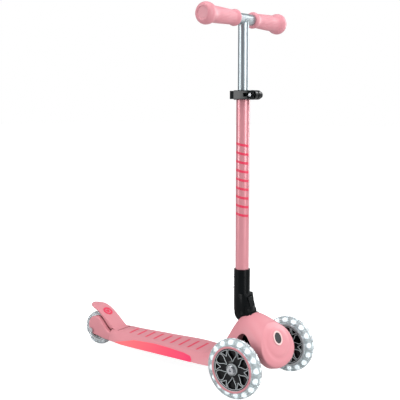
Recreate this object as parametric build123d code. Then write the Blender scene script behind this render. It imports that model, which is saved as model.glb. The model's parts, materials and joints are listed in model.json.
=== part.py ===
from build123d import *

import os
from math import cos, radians, sin

# Folding three-wheeled kick scooter for a small child, steered by leaning.
# All lengths are in millimetres. X runs across the scooter, -Y is the way it rolls, Z is up.
# Everything is drawn with the front axle at Y = 0 and then moved to the middle of the footprint.

# ---- driving dimensions -------------------------------------------------------------------
FRONT_WHEEL_R = 60.5
REAR_WHEEL_R = 40.0
WHEEL_W = 24.0
HALF_TRACK = 102.9
WHEELBASE = 467.7
CENTRE_SHIFT = -(WHEELBASE + REAR_WHEEL_R - FRONT_WHEEL_R) / 2

MAST_Y = 53.2
BAR_Z = 747.6
BAR_R = 11.0
INNER_TUBE_R = 11.0
OUTER_TUBE_R = 14.0
TUBE_WALL = 1.5
OUTER_TUBE_TOP = 604.0
GRIP_END_X = 129.6
GRIP_BULB_R = 21.4

STEER_TILT = 22.0
BUTTON_Y, BUTTON_Z = -35.4, 104.0
SOCKET_R = 16.8
FOLD_Y, FOLD_Z = 44.0, 147.0
BARREL_R = 18.0
BARREL_HALF_W = 15.0

DECK_TOP = 50.6
DECK_SKIN = 3.2
BAR_DEPTH = 0.8
DECK_FRONT_Y = 76.0
FORK_GAP = 14.5
FORK_OUT = 30.0
BRAKE_Y, BRAKE_Z = 398.0, 43.0
BRAKE_TIP_Y = 487.0

CLAMP_Z = 596.0
CLAMP_H = 19.0
CLAMP_BOLT_Y = 24.0
LEVER_X = -20.5

AXLE_R = 3.97
BEARING_BORE = 4.02
BEARING_R = 11.0
BEARING_W = 7.0
RUN = 0.05
GAP = 0.3

TILT_C, TILT_S = cos(radians(STEER_TILT)), sin(radians(STEER_TILT))


# ---- helpers ------------------------------------------------------------------------------
def tube_x(y, z, r, x0, x1, bore=0.0):
    """A rod, or a tube when it has a bore, along X between two X positions."""
    body = Solid.make_cylinder(r, x1 - x0, Plane(origin=(x0, y, z), z_dir=(1, 0, 0)))
    if bore:
        body -= Solid.make_cylinder(bore, x1 - x0, Plane(origin=(x0, y, z), z_dir=(1, 0, 0)))
    return body


def tube_z(x, y, r, z0, z1, bore=0.0):
    """A rod, or a tube when it has a bore, along Z between two heights."""
    body = Solid.make_cylinder(r, z1 - z0, Plane(origin=(x, y, z0)))
    if bore:
        body -= Solid.make_cylinder(bore, z1 - z0, Plane(origin=(x, y, z0)))
    return body


def steer_point(s, u, x=0.0):
    """The point s behind the lock button's face along the steering axis, u above that axis."""
    return Vector(x, BUTTON_Y + s * TILT_C + u * TILT_S, BUTTON_Z - s * TILT_S + u * TILT_C)


def steer_plane(s):
    """A plane square to the steering axis, facing backwards, s behind the button's face."""
    return Plane(origin=steer_point(s, 0), x_dir=(1, 0, 0), z_dir=(0, TILT_C, -TILT_S))


def tube_s(r, s0, s1, bore=0.0, x=0.0, u=0.0):
    """A rod or tube parallel to the steering axis."""
    at = Plane(origin=steer_point(s0, u, x), z_dir=(0, TILT_C, -TILT_S))
    body = Solid.make_cylinder(r, s1 - s0, at)
    if bore:
        body -= Solid.make_cylinder(bore, s1 - s0, at)
    return body


def box(x0, x1, y0, y1, z0, z1):
    """A block given by its limits along each axis."""
    return Pos((x0 + x1) / 2, (y0 + y1) / 2, (z0 + z1) / 2) * Box(x1 - x0, y1 - y0, z1 - z0)


def side_plate(points, x0, x1, corner=0.0):
    """A plate with an outline drawn in the YZ plane, between two X positions."""
    face = make_face(Polyline(*[(x0, y, z) for y, z in points], close=True).edges())
    if corner:
        face = fillet(face.vertices(), corner)
    return extrude(face, amount=x1 - x0, dir=(1, 0, 0))


def flat_plate(points, z0, z1, corner=0.0):
    """A plate with an outline drawn in plan, between two heights."""
    face = make_face(Polyline(*[(x, y, z0) for x, y in points], close=True).edges())
    if corner:
        face = fillet(face.vertices(), corner)
    return extrude(face, amount=z1 - z0, dir=(0, 0, 1))


def mirror_x(shape):
    """The same piece on the other side of the scooter."""
    return mirror(shape, about=Plane.YZ)


def both_sides(shape):
    """A piece and its mirror image as separate solids of one node."""
    return Compound([*shape.solids(), *mirror_x(shape).solids()])


def group(shapes):
    """Several separate solids kept in one node."""
    return Compound([solid for shape in shapes for solid in shape.solids()])


def coil(r, wire, pitch, height):
    """A helical spring that stands on the XY plane."""
    path = Helix(pitch=pitch, height=height, radius=r)
    section = Plane(origin=path @ 0, z_dir=path % 0) * Circle(wire)
    return sweep(section, path=path, is_frenet=True)


# ---- deck ---------------------------------------------------------------------------------
# Each row: Y, half width and height of the top edge, of the shoulder, and of the lower rim.
DECK_ROWS = [
    (76, 22, 88, 47, 66, 56, 34),
    (90, 27, 71, 51, 56, 59, 34),
    (108, 33, 57, 52, 49, 61, 34),
    (130, 37, 51.6, 50.5, 46, 62, 34),
    (170, 37, 51.4, 48, 48.5, 62, 34),
    (215, 35, 51.4, 43.5, 50, 62, 34),
    (270, 31, 51.4, 37, 50, 62, 34),
    (330, 28, 51.4, 35, 48.4, 58, 32.5),
    (370, 26, 51.4, 34, 46, 49, 30),
    (406, 23, 51.4, 31.5, 43, 35, 26),
]


def deck_block(inset, y_front, y_back, floor):
    """The deck's outer shape, or with an inset the hollow under its skin."""
    faces = []
    for y, top_w, top_z, edge_w, edge_z, rim_w, rim_z in DECK_ROWS:
        edge = Vector(edge_w - inset * 0.9, edge_z - inset * 0.8)
        rim = Vector(rim_w - inset * 1.1, rim_z)
        low = rim + (rim - edge) * (floor / (edge.Y - rim.Y))
        half = [(top_w - inset * 0.6, top_z - inset), (edge.X, edge.Y), (low.X, low.Y)]
        points = half + [(-x, z) for x, z in reversed(half)]
        faces.append(make_face(Polyline(*[(x, y, z) for x, z in points], close=True).edges()))
    body = loft(faces)
    return body & box(-90, 90, y_front, y_back, 0, 120)


def fork_arm():
    """One of the two arms that hold the rear axle, on the +X side."""
    lobe_y, lobe_z, lobe_r = 454.5, 52.5, 23.0
    lower = Line((0, 392, 26), (0, 413, 24))
    belly = Spline((0, 413, 24), (0, 436, 26), (0, lobe_y, lobe_z - lobe_r), tangents=((0, 1, 0), (0, 1, 0)))
    end = ThreePointArc(
        (0, lobe_y, lobe_z - lobe_r), (0, lobe_y + lobe_r, lobe_z), (0, lobe_y, lobe_z + lobe_r)
    )
    back = Spline(
        (0, lobe_y, lobe_z + lobe_r), (0, 441, 70), (0, 427, 56), (0, 410, 43.5),
        tangents=((0, -1, 0), (0, -1, -0.3)),
    )
    close = Polyline((0, 410, 43.5), (0, 392, 42), (0, 392, 26))
    face = make_face([*lower.edges(), *belly.edges(), *end.edges(), *back.edges(), *close.edges()])
    arm = extrude(Pos(FORK_GAP, 0, 0) * face, amount=FORK_OUT - FORK_GAP, dir=(1, 0, 0))
    outer = arm.edges().filter_by_position(Axis.X, FORK_OUT - 0.1, FORK_OUT + 0.1)
    return fillet(outer, 3.0)


def deck_shell():
    """The moulded deck: a hollow skin with ribs and screw posts, and the rear fork arms."""
    outer = deck_block(0, DECK_FRONT_Y, 406, 0)
    outer -= box(-60, 60, 125, 420, DECK_TOP, 60)
    skin = outer - deck_block(DECK_SKIN, 60, 384, 12)
    skin -= box(-23, 23, 387.5, 420, 33, 60)
    skin -= grip_pattern()
    for rib_y in (170, 215, 260, 305, 350):
        rib = box(-60, 60, rib_y - 1.2, rib_y + 1.2, 39, DECK_TOP - 1)
        skin += rib & deck_block(DECK_SKIN - 0.6, 60, 384, 12)
    for x, y in SCREW_SPOTS:
        post = tube_z(x, y, 4.0, 38.2, DECK_TOP - 1, 0)
        skin += post - tube_z(x, y, 1.4, 38.2, 47)
    arms = fork_arm()
    skin += arms
    skin += mirror_x(arms)
    skin += box(-20, 20, 404, 409, 26, 41)
    skin -= tube_x(WHEELBASE, REAR_WHEEL_R, AXLE_R, -40, 40)
    skin -= tube_x(BRAKE_Y, BRAKE_Z, 7.2, -22.5, 22.5)
    skin -= tube_x(BRAKE_Y, BRAKE_Z, 2.5, -28, 28)
    return skin


SCREW_SPOTS = [(x * side, y) for x, y in ((38, 160), (30, 240), (28, 320)) for side in (-1, 1)]


def underside_cover():
    """The flat plate that closes the deck from below."""
    plate = deck_block(DECK_SKIN + 0.1, 152, 380, 12) & box(-70, 70, 100, 400, 35.2, 38.0)
    for x, y in SCREW_SPOTS:
        plate -= tube_z(x, y, 2.0, 30, 40)
    return plate


def deck_screws():
    """Pan head screws from below, up into the deck's posts."""
    return group(
        [tube_z(x, y, 1.4, 35.2, 46.5) + tube_z(x, y, 3.4, 33.4, 35.2) for x, y in SCREW_SPOTS]
    )


def side_panel():
    """The lens-shaped coloured insert on the deck's flank, on the +X side."""
    outline = [(141, 30), (142, 38), (150, 43.5), (170, 46.6), (210, 48.0), (262, 47.6), (320, 44.6), (378, 31)]
    lens = side_plate(outline, 20, 80)
    skin = deck_block(-0.5, 120, 390, 0) - deck_block(0, 100, 400, 0)
    return lens & skin & box(20, 90, 120, 400, 20, 60)


def grip_pattern():
    """Slanted bars in soft rubber, set flush into the standing surface."""
    bars = []
    for k in range(9):
        y = 150 + 25 * k
        w = 27 - 1.0 * k
        bar = [(-w, y), (w, y + 7), (w, y + 13), (-w, y + 6)]
        bars.append(flat_plate(bar, DECK_TOP - BAR_DEPTH, DECK_TOP, 2.0))
    return group(bars)


# ---- head: cover, frame, kingpin, steering lock ---------------------------------------------
# Each row: s along the steering axis, half width, top, widest line and bottom measured from it.
HEAD_ROWS = [
    (0, 36, 21, -10, -35),
    (4, 58, 28, -19, -54),
    (10, 59.5, 36, -19, -58.5),
    (18, 56, 46, -15, -58.5),
    (30, 51.5, 58, -9.5, -57),
    (42, 50, 64.5, -4.5, -54),
    (60, 49.5, 65.3, -2, -49.5),
    (80, 50, 54, -1, -46),
    (100, 51, 38, -4, -42),
    (122, 54, 20, -10, -38),
    (140, 56, 6, -14, -36),
]
COVER_WALL = 3.0
HEAD_TOP_U = 29.0


def head_block(inset):
    """The head cover's outer shape, or with an inset the space inside it."""
    faces = []
    for s, half_w, top, mid, bottom in HEAD_ROWS:
        points = []
        for k in range(16):
            a = radians(22.5 * k)
            reach = top - mid if sin(a) > 0 else mid - bottom
            x = (half_w - inset) * cos(a)
            u = mid + (reach - inset) * sin(a)
            points.append(steer_point(s + inset, u, x))
        faces.append(make_face(Spline(*points, periodic=True).edges()))
    return loft(faces)


def arch_cut():
    """The slanted side openings where the truck's arms come out, and the open underside."""
    outline = [(-34, 20), (-30, 50), (-19, 76), (-3, 98), (9, 111), (20, 114), (30, 108), (38, 92), (46, 62)]
    outline += [(50, 20)]
    return side_plate(outline, -80, 80, 3.0)


def head_cover():
    """The rounded cover over the front of the scooter."""
    shell = head_block(0) - head_block(COVER_WALL)
    shell &= box(-80, 80, -80, DECK_FRONT_Y, 34, 200)
    shell -= box(-80, 80, 40, 90, 20, 90) & head_block(COVER_WALL)
    shell -= arch_cut()
    shell -= tube_s(15.0, -10, 12)
    opening = [(24.5, 200), (24.5, 135), (40, 127.2), (48, 123.6), (56, 119.8), (66, 118), (92, 118), (92, 200)]
    shell -= side_plate(opening, -SOCKET_R - 1.2, SOCKET_R + 1.2)
    shell -= fold_base_block()
    return largest(shell)


def largest(shape):
    """The biggest solid of a shape, without the crumbs of a cut."""
    return max(shape.solids(), key=lambda solid: solid.volume)


def button_bezel():
    """The pale ring round the steering lock button."""
    return tube_s(14.9, -1.2, 3.4, 11.4)


def steering_head():
    """The black moulded frame inside the cover: it carries the kingpin and reaches into the deck."""
    u_low, u_high, bridge_u = -26, HEAD_TOP_U, 21.5
    front = steer_box(13, 25, u_low, u_high, 21)
    top = steer_box(13, 78, bridge_u, u_high, 21)
    rear = steer_box(66, 78, u_low, u_high, 21)
    tongue = box(-21, 21, 28, 145, 38.2, 47.0)
    web = side_plate([(38, 44), (30, 70), (46, 88), (62, 66), (80, 47), (80, 44)], -8, 8)
    wings = box(-36, 36, 4, 20, 108.5, 111.5)
    body = front + top + rear + tongue + web + wings
    body -= tube_s(AXLE_R, 5, 90)
    body -= tube_s(9.0, 78, 96)
    body -= tube_s(2.1, 10, 30, 0, 0, -14.5)
    return body


def steer_box(s0, s1, u0, u1, half_w):
    """A block square to the steering axis."""
    centre = steer_point((s0 + s1) / 2, (u0 + u1) / 2)
    at = Plane(origin=centre, x_dir=(1, 0, 0), z_dir=(0, TILT_C, -TILT_S))
    return at * Box(2 * half_w, u1 - u0, s1 - s0)


def kingpin():
    """The steel bolt that the truck turns on."""
    return tube_s(AXLE_R, 11.5, 86) + tube_s(7.0, 7.5, 13)


def kingpin_nut():
    """Hexagon lock nut behind the frame."""
    at = steer_plane(78)
    return extrude(at * RegularPolygon(7.0, 6), amount=7) - tube_s(AXLE_R, 70, 90)


def kingpin_washers():
    """Thrust washers between the frame and the truck's hub."""
    return group([tube_s(12, 25.0, 26.4, 4.1), tube_s(12, 64.6, 66.0, 4.1)])


def lock_button():
    """The round button that locks the steering straight when pressed, with its tooth."""
    cap = tube_s(11.1, -0.5, 3.0) + tube_s(11.1, 3.0, 6.4, 8.6)
    tooth = tube_s(1.9, 6.4, 22.5, 0, 0, -14.5)
    bridge = steer_box(4.4, 6.4, -16.4, -9.5, 3.0)
    return cap + tooth + bridge


def lock_spring():
    """The small coil spring behind the lock button."""
    spring = coil(7.9, 0.45, 1.7, 3.0)
    return Plane(origin=steer_point(3.5, 0), z_dir=(0, TILT_C, -TILT_S)) * spring


# ---- truck, the part that steers ---------------------------------------------------------------
def truck():
    """The black cross arm that carries both front wheels."""
    half = [(0, 17), (18, 13), (34, 4), (60, -12), (78, -16.5), (88, -17)]
    half += [(88, -37), (70, -37), (46, -28), (24, -20), (0, -18)]
    outline = half + [(-x, u) for x, u in reversed(half[1:-1])]
    face = make_face(Polyline(*[steer_point(37, u, x) for x, u in outline], close=True).edges())
    body = extrude(fillet(face.vertices(), 3.0), amount=22, dir=(0, TILT_C, -TILT_S))
    body += tube_s(17.5, 26.8, 64.2)
    for side in (-1, 1):
        x0, x1 = sorted((side * 70, side * 88.4))
        body += tube_x(0, FRONT_WHEEL_R, 11.0, x0, x1)
        x0, x1 = sorted((side * 58, side * 90))
        body -= tube_x(0, FRONT_WHEEL_R, AXLE_R, x0, x1)
    body -= tube_s(6.0, 20, 70)
    return body


def truck_bushings():
    """Flanged sleeves pressed into the truck's hub."""
    return group([tube_s(6.0, 26.8, 40, 4.02), tube_s(6.0, 51, 64.2, 4.02)])


def steering_springs():
    """Two coil springs above the arms that bring the wheels back to straight."""
    spring = Pos(27, 12, 97.0) * coil(5.0, 0.8, 2.6, 10.4)
    return both_sides(spring)


# ---- front wheels ------------------------------------------------------------------------------
def wheel_ring(x_mid, y, z, r_out, r_in, width, corner):
    """A ring round an axle, with rounded outer corners."""
    half = width / 2
    c = corner
    outer = Polyline(
        (x_mid - half, 0, r_in), (x_mid - half, 0, r_out - c), (x_mid - half + c, 0, r_out),
        (x_mid + half - c, 0, r_out), (x_mid + half, 0, r_out - c), (x_mid + half, 0, r_in),
        close=True,
    )
    return Pos(0, y, z) * revolve(make_face(outer.edges()), Axis.X)


def tyre(x_mid, y, z, r_out, r_in):
    """A cast polyurethane tyre with a rounded tread."""
    half = WHEEL_W / 2
    crown = ThreePointArc((x_mid - half, 0, r_out - 7), (x_mid, 0, r_out), (x_mid + half, 0, r_out - 7))
    sides = Polyline(
        (x_mid + half, 0, r_out - 7), (x_mid + half, 0, r_in),
        (x_mid - half, 0, r_in), (x_mid - half, 0, r_out - 7),
    )
    return Pos(0, y, z) * revolve(make_face([*crown.edges(), *sides.edges()]), Axis.X)


def wheel_hub(x_mid, y, z, rim_out, rim_in, boss_r, spokes, spoke_w):
    """A moulded hub: rim, spokes and a boss bored for two bearings."""
    hub = wheel_ring(x_mid, y, z, rim_out, rim_in, WHEEL_W - 2, 0.5)
    hub += tube_x(y, z, boss_r, x_mid - 11.5, x_mid + 11.5)
    for k in range(spokes):
        a = 360.0 * k / spokes
        spoke = box(-7, 7, -spoke_w / 2, spoke_w / 2, boss_r - 2, rim_in + 1)
        hub += Pos(x_mid, y, z) * (Rot(a, 0, 0) * spoke)
    hub -= tube_x(y, z, 8.8, x_mid - 12, x_mid + 12)
    hub -= tube_x(y, z, BEARING_R, x_mid - 12, x_mid - 11.5 + BEARING_W)
    hub -= tube_x(y, z, BEARING_R, x_mid + 11.5 - BEARING_W, x_mid + 12)
    return hub


def bearings(x_mid, y, z):
    """Two ball bearings, one in each end of the hub."""
    inner = tube_x(y, z, BEARING_R, x_mid - 11.5, x_mid - 11.5 + BEARING_W, BEARING_BORE)
    outer = tube_x(y, z, BEARING_R, x_mid + 11.5 - BEARING_W, x_mid + 11.5, BEARING_BORE)
    return group([inner, outer])


def wheel_lights(x_mid):
    """Light modules set into the rim under the clear tyre."""
    lights = []
    for k in range(6):
        body = box(-5, 5, -4, 4, 46.5, 50.0)
        lights.append(Pos(x_mid, 0, FRONT_WHEEL_R) * (Rot(60 * k + 30, 0, 0) * body))
    return group(lights)


def trim_ring(side):
    """The coloured ring on the outer face of a front wheel."""
    face = side * (HALF_TRACK + WHEEL_W / 2)
    x0, x1 = sorted((face - side * 1.0, face + side * 0.9))
    return tube_x(0, FRONT_WHEEL_R, 46.6, x0, x1, 42.6)


def front_tyre(side):
    """The tyre with pockets for the lights and a step for the trim ring."""
    body = tyre(side * HALF_TRACK, 0, FRONT_WHEEL_R, FRONT_WHEEL_R, 46.4)
    for light in wheel_lights(side * HALF_TRACK).solids():
        body -= light
    return body - trim_ring(side)


def magnet_spacers():
    """Spacer tubes with magnets on the front axles, inside the hubs."""
    tube = tube_x(0, FRONT_WHEEL_R, 7.6, HALF_TRACK - 4.2, HALF_TRACK + 4.2, AXLE_R)
    return both_sides(tube)


def front_axle_bolts():
    """Shoulder bolts through the front wheels into the truck."""
    inside, face = 59.0, HALF_TRACK + WHEEL_W / 2
    bolt = tube_x(0, FRONT_WHEEL_R, AXLE_R, inside, face) + tube_x(0, FRONT_WHEEL_R, 7.5, face, face + 4.0)
    socket_face = Plane(origin=(face + 4.0, 0, FRONT_WHEEL_R), z_dir=(-1, 0, 0))
    recess = extrude(socket_face * RegularPolygon(3.4, 6), amount=2.6)
    return both_sides(bolt - recess)


# ---- rear wheel and brake ------------------------------------------------------------------------
def rear_axle():
    """The rear axle bolt with its head on the -X side."""
    head = FORK_OUT + 4.0
    return tube_x(WHEELBASE, REAR_WHEEL_R, AXLE_R, -FORK_OUT, head) + tube_x(
        WHEELBASE, REAR_WHEEL_R, 6.5, -head, -FORK_OUT
    )


def rear_axle_nut():
    """Hexagon nut on the +X end of the rear axle."""
    at = Plane(origin=(FORK_OUT, WHEELBASE, REAR_WHEEL_R), z_dir=(1, 0, 0))
    return extrude(at * RegularPolygon(6.8, 6), amount=5.0) - tube_x(WHEELBASE, REAR_WHEEL_R, AXLE_R, 20, 50)


def rear_spacers():
    """Washers between the fork arms and the rear bearings."""
    return both_sides(tube_x(WHEELBASE, REAR_WHEEL_R, 6.6, 11.5 + GAP, FORK_GAP, AXLE_R))


def rear_middle_spacer():
    """Tube between the two rear bearings."""
    half = 11.5 - BEARING_W - GAP
    return tube_x(WHEELBASE, REAR_WHEEL_R, 6.0, -half, half, AXLE_R)


def brake_pedal():
    """The curved rear brake that the heel presses onto the wheel."""
    crown = [(394, 50.3), (406, 56.5), (420, 68), (436, 80.5), (452, 90.2), (470, 97.2), (BRAKE_TIP_Y, 99.6)]
    (y0, z0), (y1, z1) = crown[0], crown[-1]
    top = Spline(*[(0, y, z) for y, z in crown])
    under = Spline(*[(0, y + 0.8, z - 4.6) for y, z in reversed(crown)])
    front = Line((0, y0 + 0.8, z0 - 4.6), (0, y0, z0))
    tip = Line((0, y1, z1), (0, y1 + 0.8, z1 - 4.6))
    face = make_face([*top.edges(), *tip.edges(), *under.edges(), *front.edges()])
    plan = Pos(-22, 0, 0) * face
    pad = extrude(plan, amount=44, dir=(1, 0, 0))
    half_plan = [(22, 380), (22, 462), (20.5, 476), (14, 485), (0, 488)]
    outline = half_plan + [(-x, y) for x, y in reversed(half_plan[:-1])]
    pad &= flat_plate(outline, 0, 120)
    lower = [(411, 48.5), (421, 56), (430, 65.5), (440, 75.5), (452, 86)]
    skirt_line = lower + [(458, 90), (440, 80), (420, 65), (408, 55)]
    skirt = side_plate(skirt_line, 18.6, 22)
    barrel = tube_x(BRAKE_Y, BRAKE_Z, 6.2, -21.5, 21.5) + side_plate(
        [(393, 44), (394.5, 49.6), (400, 51.5), (406, 54.5), (404, 43)], -21.5, 21.5
    )
    body = pad + skirt + mirror_x(skirt) + barrel
    body -= tube_x(BRAKE_Y, BRAKE_Z, 2.55, -30, 30)
    body -= tube_x(BRAKE_Y, BRAKE_Z, 7.0, -6, 6)
    return largest(body)


def brake_pad():
    """The wear block under the brake, shaped to the wheel."""
    block = side_plate([(424, 60), (424, 69.5), (436, 78.5), (446, 84.4), (450, 86.2), (450, 60)], -9, 9)
    return largest(block - tube_x(WHEELBASE, REAR_WHEEL_R, REAR_WHEEL_R + 5.6, -12, 12) - brake_pedal())


def brake_pin():
    """Steel pin that the brake swings on."""
    return tube_x(BRAKE_Y, BRAKE_Z, 2.5, -27.5, 27.5)


def brake_spring():
    """Torsion spring round the brake's pin, which lifts the brake off the wheel."""
    spring = coil(4.4, 0.7, 1.9, 9.0)
    return Plane(origin=(-4.5, BRAKE_Y, BRAKE_Z), z_dir=(1, 0, 0)) * spring


def brake_badge():
    """A plain round inlay on the brake."""
    normal = Vector(0, -0.55, 0.835)
    at = Plane(origin=(0, 441.5, 84.0), x_dir=(1, 0, 0), z_dir=normal)
    disc = Solid.make_cylinder(12.0, 4, at.offset(-2.5))
    return (disc - brake_pedal()).solids().sort_by(Axis.Z)[-1]


# ---- folding joint -------------------------------------------------------------------------------
def fold_base_block():
    """The outer form of the fold base, with room for the knuckle's barrel."""
    outline = [
        (20.5, 100), (20.5, 147), (27, 147), (27, 134), (44, 127), (50, 122), (57, 118), (57, 98), (24, 98),
    ]
    block = side_plate(outline, -BARREL_HALF_W, BARREL_HALF_W)
    block -= tube_x(FOLD_Y, FOLD_Z, BARREL_R + 0.5, -20, 20)
    return block


def fold_base():
    """The cast base that the mast folds on, bolted to the frame, with the hinge tongue."""
    tongue = tube_x(FOLD_Y, FOLD_Z, 13.0, -6.2, 6.2) + box(-6.2, 6.2, 31, 56, 112, FOLD_Z)
    body = fold_base_block() + tongue
    body -= tube_x(FOLD_Y, FOLD_Z, 4.0, -10, 10)
    body -= steer_box(0, 140, -60, HEAD_TOP_U, 40)
    return largest(body)


def fold_pin():
    """Steel pin through the knuckle and the tongue."""
    return tube_x(FOLD_Y, FOLD_Z, 3.95, -BARREL_HALF_W + 0.4, BARREL_HALF_W - 0.4)


SOCKET_SCREW_Z = (197, 219)


def knuckle():
    """The black socket at the foot of the mast, with the hinge cheeks."""
    body = tube_z(0, MAST_Y, SOCKET_R, 165, 237)
    body += tube_x(FOLD_Y, FOLD_Z, BARREL_R, -BARREL_HALF_W, BARREL_HALF_W)
    profile = [
        (36.4, 187), (32.6, 176), (28.8, 166), (26.6, 156), (26, FOLD_Z), (62, FOLD_Z), (66, 152.5), (69, 159),
        (70, 167), (70, 187),
    ]
    nose_y = 26 + SOCKET_R
    plan = tube_z(0, MAST_Y, SOCKET_R, 140, 190) + tube_z(0, nose_y, SOCKET_R, 140, 190)
    plan += box(-SOCKET_R, SOCKET_R, nose_y, MAST_Y, 140, 190)
    body += side_plate(profile, -SOCKET_R, SOCKET_R) & plan
    body -= tube_z(0, MAST_Y, OUTER_TUBE_R, 180, 240)
    body -= box(-6.5, 6.5, 28, 90, 100, 162)
    body -= box(-9.3, 9.3, 0, 36.5, 160, 182)
    body -= tube_x(FOLD_Y, FOLD_Z, 4.0, -30, 30)
    body -= group([tube_y(0, z, 2.5, 60, 75) for z in SOCKET_SCREW_Z])
    return body


def tube_y(x, z, r, y0, y1):
    """A rod along Y."""
    return Solid.make_cylinder(r, y1 - y0, Plane(origin=(x, y0, z), z_dir=(0, 1, 0)))


def fold_button():
    """The release that is pressed to let the mast fold."""
    outline = [(25.4, 160.6), (27.2, 168), (29.8, 175), (31.8, 180.6), (33.2, 180.6), (33.2, 160.6)]
    return side_plate(outline, -9, 9)


def fold_spring():
    """Coil spring behind the release button."""
    spring = coil(3.6, 0.5, 0.9, 1.9)
    return Plane(origin=(0, 33.7, 170), z_dir=(0, 1, 0)) * spring


def socket_screws():
    """Screws at the back that fix the tube in its socket."""
    screws = []
    for z in SOCKET_SCREW_Z:
        shank = tube_y(0, z, 2.5, 65.8, 70.4)
        head = tube_y(0, z, 4.2, 70.0, 72.4)
        screws.append(shank + head)
    return group(screws)


# ---- mast ----------------------------------------------------------------------------------------
def outer_tube():
    """The lower tube of the mast, slit at the top so that the clamp can squeeze it."""
    tube = tube_z(0, MAST_Y, OUTER_TUBE_R, 180, OUTER_TUBE_TOP, OUTER_TUBE_R - TUBE_WALL)
    tube -= box(-1.0, 1.0, MAST_Y - 16, MAST_Y - 8, 576, OUTER_TUBE_TOP + 1)
    for z in SOCKET_SCREW_Z:
        tube -= tube_y(0, z, 2.5, 60, 75)
    return tube


def tube_stripes():
    """A plain printed pattern of slanted dashes up the front of the outer tube."""
    dashes = []
    shell = tube_z(0, MAST_Y, OUTER_TUBE_R + 0.35, 290, 560, OUTER_TUBE_R)
    for k in range(9):
        z = 345 + 18 * k
        dash = side_plate([(30, z), (62, z + 7), (62, z + 12), (30, z + 5)], -20, 0)
        dashes.append(dash & shell)
    return group(dashes)


def top_bush():
    """Plastic bush at the top of the outer tube that guides the inner tube."""
    bush = tube_z(0, MAST_Y, OUTER_TUBE_R - TUBE_WALL, 560, OUTER_TUBE_TOP, INNER_TUBE_R + RUN)
    bush += tube_z(0, MAST_Y, 14.0, OUTER_TUBE_TOP, OUTER_TUBE_TOP + 1.6, INNER_TUBE_R + RUN)
    return bush - box(-1.0, 1.0, MAST_Y - 16, MAST_Y - 8, 550, 610)


def clamp_collar():
    """The split collar with two ears at the front."""
    z0, z1 = CLAMP_Z - CLAMP_H / 2, CLAMP_Z + CLAMP_H / 2
    ring = tube_z(0, MAST_Y, 19.5, z0, z1)
    ears = box(-11, 11, CLAMP_BOLT_Y, MAST_Y, z0, z1)
    ears += tube_x(CLAMP_BOLT_Y, CLAMP_Z, CLAMP_H / 2, -11, 11)
    body = ring + ears
    body -= tube_z(0, MAST_Y, OUTER_TUBE_R, z0 - 1, z1 + 1)
    body -= box(-1.4, 1.4, 0, MAST_Y - 5, z0 - 1, z1 + 1)
    return body - tube_x(CLAMP_BOLT_Y, CLAMP_Z, 3.0, -30, 30)


def clamp_bolt():
    """The bolt across the collar's ears, with the eye that the lever turns on."""
    bolt = tube_x(CLAMP_BOLT_Y, CLAMP_Z, 2.95, LEVER_X, 15.5)
    return bolt - tube_z(LEVER_X, CLAMP_BOLT_Y, 2.0, CLAMP_Z - 10, CLAMP_Z + 10)


def clamp_nut():
    """Knurled nut on the far end of the clamp bolt."""
    return tube_x(CLAMP_BOLT_Y, CLAMP_Z, 7.0, 11.0, 17.5, 2.95)


def clamp_pin():
    """Small upright pin through the bolt's eye and the lever."""
    return tube_z(LEVER_X, CLAMP_BOLT_Y, 2.0, CLAMP_Z - 8.6, CLAMP_Z + 8.6)


def clamp_lever():
    """The quick-release lever with its cam, closed along the collar's side."""
    outline = [
        (-28, 24), (-26, 17), (-19, 15.4), (-13.4, 19.2), (-13.4, 28), (-19, 33), (-22.2, 42),
        (-22.6, 56), (-19.4, 67), (-21.5, 70), (-25, 69), (-27.5, 58), (-28, 42),
    ]
    body = flat_plate(outline, CLAMP_Z - 8.2, CLAMP_Z + 8.2, 0.9)
    body -= box(-40, -10, 5, 34.5, CLAMP_Z - 3.3, CLAMP_Z + 3.3)
    return body - tube_z(LEVER_X, CLAMP_BOLT_Y, 2.05, CLAMP_Z - 12, CLAMP_Z + 12)


# ---- handlebar ---------------------------------------------------------------------------------------
def inner_tube():
    """The upper tube, coped round the crossbar that it is welded to."""
    tube = tube_z(0, MAST_Y, INNER_TUBE_R, 402, BAR_Z, INNER_TUBE_R - TUBE_WALL)
    return tube - tube_x(MAST_Y, BAR_Z, BAR_R, -30, 30)


def slide_bush():
    """Plastic foot of the inner tube that runs inside the outer tube."""
    foot = tube_z(0, MAST_Y, OUTER_TUBE_R - TUBE_WALL - RUN, 392, 402)
    return foot + tube_z(0, MAST_Y, INNER_TUBE_R - TUBE_WALL, 402, 424)


def crossbar():
    """The handlebar's cross tube."""
    return tube_x(MAST_Y, BAR_Z, BAR_R, -124, 124, BAR_R - TUBE_WALL)


def grip(side):
    """A soft grip with a small flange inside and a round bulb outside."""
    inner, flange, neck, bulb = 27.5, 34.0, 109.0, GRIP_END_X
    r_end = GRIP_BULB_R
    profile = Spline(
        (inner, 0, 13.2), (flange - 3, 0, 16.4), (flange + 2, 0, 16.4), (flange + 8, 0, 14.4), (62, 0, 14.9),
        (90, 0, 15.9), (neck - 4, 0, 16.2), (neck + 4, 0, 17.4), (bulb - 8, 0, 20.6), (bulb - 1, 0, r_end),
        (bulb + 6, 0, 18.6), (bulb + 9.6, 0, 11.0),
    )
    close = Polyline((bulb + 9.6, 0, 11.0), (bulb + 9.6, 0, 0), (inner, 0, 0), (inner, 0, 13.2))
    body = revolve(make_face([*profile.edges(), *close.edges()]), Axis.X)
    body = Pos(0, MAST_Y, BAR_Z) * body - tube_x(MAST_Y, BAR_Z, BAR_R, 20, 124)
    return body if side > 0 else mirror_x(body)


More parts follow.
